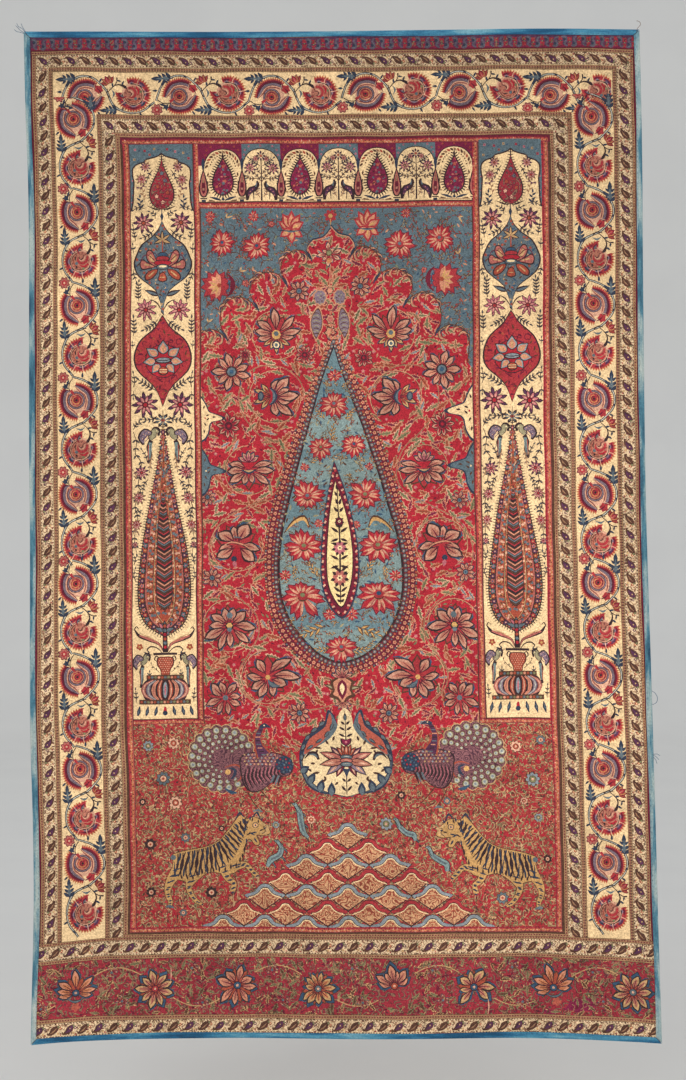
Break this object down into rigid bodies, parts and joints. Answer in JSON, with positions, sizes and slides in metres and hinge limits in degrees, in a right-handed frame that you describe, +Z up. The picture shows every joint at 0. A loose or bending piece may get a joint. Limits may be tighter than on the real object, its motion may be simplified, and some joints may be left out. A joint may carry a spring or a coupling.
{
  "type": "kalamkari panel",
  "caption": "Hung printed cotton panel with an arched niche, cypress, pillars and leaf borders, edged in a folded blue binding.",
  "frame": {"origin": "middle of the top edge, at the outer fold of the top binding, half way through the cloth's thickness", "axes": "+Z up along the hanging cloth, +X to the right of its printed face, -Y out of the printed face"},
  "size_m": [1.0729, 0.0204, 1.7088],
  "materials": {
    "printed_cotton": "plain-woven cotton, printed and painted with dyes, matt",
    "blue_cotton": "plain-woven cotton, dyed blue, faded in streaks, matt"
  },
  "bodies": {
    "root": {"cloth": "printed_cotton", "binding_top": "blue_cotton", "binding_left": "blue_cotton", "binding_right": "blue_cotton", "binding_bottom": "blue_cotton"}
  },
  "joints": []
}
